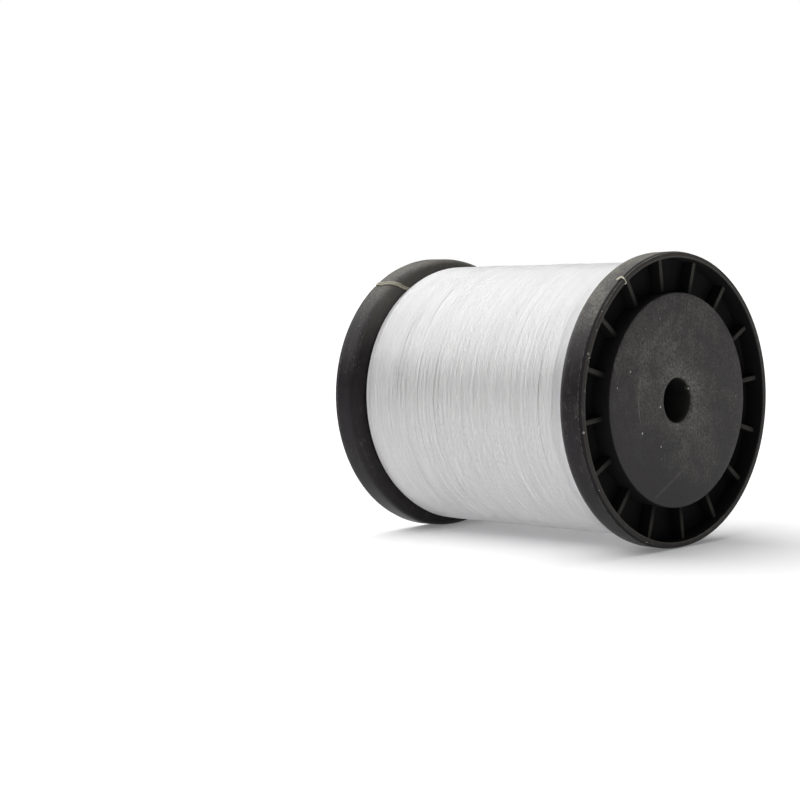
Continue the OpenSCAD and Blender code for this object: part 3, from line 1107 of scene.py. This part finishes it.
class SPOOL_OT_line_finish(bpy.types.Operator):
    """Lead the finishing end out through the front web and hook it over the rim"""

    bl_idname = "spool.line_finish"
    bl_label = "Finishing End"

    def execute(self, context):
        moulding, line, finish = (
            context.scene.spool_moulding, context.scene.spool_line, context.scene.spool_finish)
        radius = line.diameter / 2
        turn = line.end_angle + FRONT_TURN
        face = HALF_LENGTH
        rim_inside = FLANGE_RADIUS - moulding.rim_thickness
        up_wall = hole_place(moulding)
        wall = rim_inside - 1.25 * radius
        flush = face - 1.06 * radius
        band = FLANGE_RADIUS + radius
        route = [
            (WINDING_REACH - 6 * MM, WINDING_RADIUS - 3 * radius, turn + 0.42),
            (WINDING_REACH - 3 * MM, WINDING_RADIUS - 1.2 * MM, turn + 0.18),
            (WINDING_REACH - 0.4 * MM, WINDING_RADIUS - 1 * MM, turn + 0.03),
            (WINDING_REACH + 1.5 * MM, up_wall, turn),
            (face - 8 * MM, up_wall, turn),
            (face - 3.5 * MM, wall - 0.15 * MM, turn),
            (face - 1.7 * MM, wall, turn),
            (flush - 0.25 * MM, rim_inside - 0.2 * MM, turn),
            (flush, rim_inside + 0.9 * MM, turn),
            (flush, FLANGE_RADIUS - 0.9 * MM, turn + 0.001),
            (flush - 0.25 * MM, FLANGE_RADIUS + 0.2 * MM, turn + 0.004),
            (flush - 0.8 * MM, FLANGE_RADIUS + 0.65 * MM, turn + 0.01),
            (flush - 1.4 * MM, FLANGE_RADIUS + 0.6 * MM, turn + 0.018),
            (flush - 1.9 * MM, band, turn + 0.026),
            (flush - 2.3 * MM, band, turn + 0.032),
        ]
        path = smooth_path([on_spool(*place) for place in route])
        vertices, faces = sweep([path], radius * 0.98, 12)
        cream = line_end("cream_line", finish.cream_line)
        mesh = mesh_of("finishing_end", vertices, faces)
        piece = add_piece("finishing_end", mesh, [cream], 60)
        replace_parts(piece, "line_finish")
        return {"FINISHED"}


class SPOOL_OT_line_start(bpy.types.Operator):
    """Bring the doubled start of the line over the rear rim and knot it in the pocket"""

    bl_idname = "spool.line_start"
    bl_label = "Starting End"

    def execute(self, context):
        moulding, line, finish = (
            context.scene.spool_moulding, context.scene.spool_line, context.scene.spool_finish)
        radius = line.diameter / 2
        turn = line.end_angle + REAR_TURN
        face = HALF_LENGTH
        web = face - FLANGE_WIDTH
        shoulder = moulding.shoulder_radius
        band = FLANGE_RADIUS - moulding.band_draft
        rim_inside = FLANGE_RADIUS - moulding.rim_thickness
        tilt = math.pi / 4
        leaned = (shoulder + radius) * math.cos(tilt)
        pocket_floor = web + moulding.web_thickness
        route = [
            (web - radius, BARREL_RADIUS + 6 * MM, turn - 0.22),
            (web - radius, BARREL_RADIUS + 11 * MM, turn - 0.15),
            (web - radius, band - shoulder - 2.2 * MM, turn - 0.09),
            (web - radius * 0.6, band - shoulder + 0.6 * MM, turn - 0.05),
            (web + shoulder - leaned, band - shoulder + leaned, turn - 0.026),
            (web + shoulder + 0.5 * MM, band + radius, turn - 0.012),
            (face - 6 * MM, band + radius * 1.1, turn - 0.004),
            (face - 2.8 * MM, FLANGE_RADIUS + radius * 0.95, turn),
            (face - 1.7 * MM, FLANGE_RADIUS + radius * 0.3, turn),
            (face - 1.15 * MM, FLANGE_RADIUS - 1.0 * MM, turn),
            (face - 1.1 * MM, rim_inside + radius, turn),
            (face - 1.9 * MM, rim_inside - radius * 1.4, turn),
            (face - 6 * MM, rim_inside - 1.5 * MM, turn),
            (pocket_floor + 2.6 * MM, rim_inside - 2 * MM, turn),
        ]
        middle = smooth_path([on_spool(-x, r, angle) for x, r, angle in route])
        share = np.linspace(0, 1, len(middle))
        apart = 1.3 + 0.4 * np.clip((share - 0.2) / 0.15, 0, 1) * np.clip((0.86 - share) / 0.1, 0, 1)
        tangent = unit(np.gradient(middle, axis=0))
        along_rim = round_rim(turn)
        lift = np.cross(tangent, along_rim)
        cross = 0.2 * np.sin(share * 7) * (1 - share)
        offset = (apart[:, None] * along_rim + cross[:, None] * lift) * radius
        paths = [middle + offset, middle - offset]
        paths.append(self.knot(middle[-1], tangent[-1], along_rim, radius))
        vertices, faces = sweep(paths, radius * 1.1, 10, [along_rim * 0.3 + np.array([0.2, 0.1, 0.9])] * 3)
        aged = line_end("aged_line", finish.aged_line)
        piece = add_piece("starting_end", mesh_of("starting_end", vertices, faces), [aged], 60)
        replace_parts(piece, "line_start")
        return {"FINISHED"}

    @staticmethod
    def knot(place, along, across, radius):
        """Overhand knot: a trefoil round the strand's end"""
        third = np.cross(along, across)
        t = np.linspace(0, 2 * math.pi, 73)[:-1]
        size = 0.42 * radius
        a = (np.sin(t) + 2 * np.sin(2 * t)) * size
        b = (np.cos(t) - 2 * np.cos(2 * t)) * size
        c = -np.sin(3 * t) * size * 1.4
        return place + a[:, None] * across + b[:, None] * third + c[:, None] * along


# ---------------------------------------------------------------- studio

# Height of the softbox's back edge as an angle, and the share of its light beyond its side edge
BOX_BACK, BOX_BEYOND = 0.8, 0.06

# The floor: half its width in metres, the size of its blotches, and its two tones
FLOOR_SPAN, BLOTCH_SIZE = 30.0, 0.4
FLOOR_TONES = (0.8, 0.8, 0.8), (0.84, 0.84, 0.84)


def studio_room(studio):
    """Room at a distance: an overhead softbox, dim walls, and plain white where the camera looks"""
    room = Shader(bpy.data.worlds.new("studio_room"))
    across, along, up = room.split(room.node("ShaderNodeTexCoord", output="Generated"))
    low = studio.box_edge
    front = (up * math.cos(low) + along * math.sin(low)).rise(-0.02, 0.04)
    back = (up * math.cos(BOX_BACK) - along * math.sin(BOX_BACK)).rise(-0.05, 0.15)
    side = across.rise(0.4, -0.15)
    light = front * back * (BOX_BEYOND + side * (1 - BOX_BEYOND)) * studio.softbox + studio.haze
    seen = room.node("ShaderNodeLightPath", output="Is Camera Ray")
    light = light + (1 - light) * seen
    background = room.node("ShaderNodeBackground", None, {"Color": (1, 1, 1), "Strength": light})
    room.node("ShaderNodeOutputWorld", None, {"Surface": background})
    return room.owner


class SPOOL_OT_stage(bpy.types.Operator):
    """Set up the floor, the room with its overhead softbox, and the camera"""

    bl_idname = "spool.stage"
    bl_label = "Studio"

    def execute(self, context):
        studio = context.scene.spool_studio
        scene = context.scene
        scene.view_settings.view_transform = "Standard"
        scene.world = studio_room(studio)
        span = FLOOR_SPAN
        corners = [(-span, -span, 0), (span, -span, 0), (span, span, 0), (-span, span, 0)]
        floor = loose_object(mesh_of("studio_floor", corners, [(0, 1, 2, 3)]))
        paint = Shader(bpy.data.materials.new("floor_paint"))
        tone = paint.noise(paint.place(), BLOTCH_SIZE, 2, 0.5)
        colour = paint.blend(tone, *FLOOR_TONES)
        floor.data.materials.append(paint.surface(
            Base_Color=colour, Roughness=0.7, Emission_Color=(1, 1, 1), Emission_Strength=studio.table_glow))
        self.add_camera(scene, studio)
        return {"FINISHED"}

    @staticmethod
    def add_camera(scene, studio):
        """Camera turned towards the axis from its place aside"""
        az, el, roll = studio.azimuth, studio.elevation, studio.roll
        back = Vector((math.sin(az) * math.cos(el), -math.cos(az) * math.cos(el), math.sin(el)))
        right = Vector((math.cos(az), math.sin(az), 0))
        up = back.cross(right)
        data = bpy.data.cameras.new("studio_camera")
        data.sensor_width = 36
        data.lens = studio.focal_length
        camera = bpy.data.objects.new("studio_camera", data)
        turned_right = right * math.cos(roll) + up * math.sin(roll)
        turned_up = up * math.cos(roll) - right * math.sin(roll)
        place = Vector((0, 0, AXIS_HEIGHT)) + back * studio.distance + right * studio.aside
        axes = Matrix((turned_right, turned_up, back)).transposed().to_4x4()
        camera.matrix_world = Matrix.Translation(place) @ axes
        scene.collection.objects.link(camera)
        scene.camera = camera


class SPOOL_PT_panel(bpy.types.Panel):
    """Lists the steps that build the spool, with its settings"""

    bl_idname = "SPOOL_PT_panel"
    bl_label = "Line Spool"
    bl_space_type = "VIEW_3D"
    bl_region_type = "UI"
    bl_category = "Line Spool"

    def draw(self, context):
        for step in STEPS:
            self.layout.operator(step.bl_idname)
        for name, group in SETTINGS.items():
            box = self.layout.box()
            for key in group.__annotations__:
                box.prop(getattr(context.scene, name), key)


STEPS = (SPOOL_OT_stage, SPOOL_OT_flanges, SPOOL_OT_hub, SPOOL_OT_winding, SPOOL_OT_line_start,
         SPOOL_OT_line_finish)


def register():
    for group in (*SETTINGS.values(), *STEPS, SPOOL_PT_panel):
        bpy.utils.register_class(group)
    for name, group in SETTINGS.items():
        setattr(bpy.types.Scene, name, PointerProperty(type=group))


def unregister():
    for name in SETTINGS:
        delattr(bpy.types.Scene, name)
    for group in (SPOOL_PT_panel, *reversed(STEPS), *reversed(SETTINGS.values())):
        bpy.utils.unregister_class(group)


def main():
    register()
    bpy.ops.spool.stage()
    bpy.ops.spool.flanges()
    bpy.ops.spool.hub()
    bpy.ops.spool.winding()
    bpy.ops.spool.line_start()
    bpy.ops.spool.line_finish()


if __name__ == "__main__":
    main()
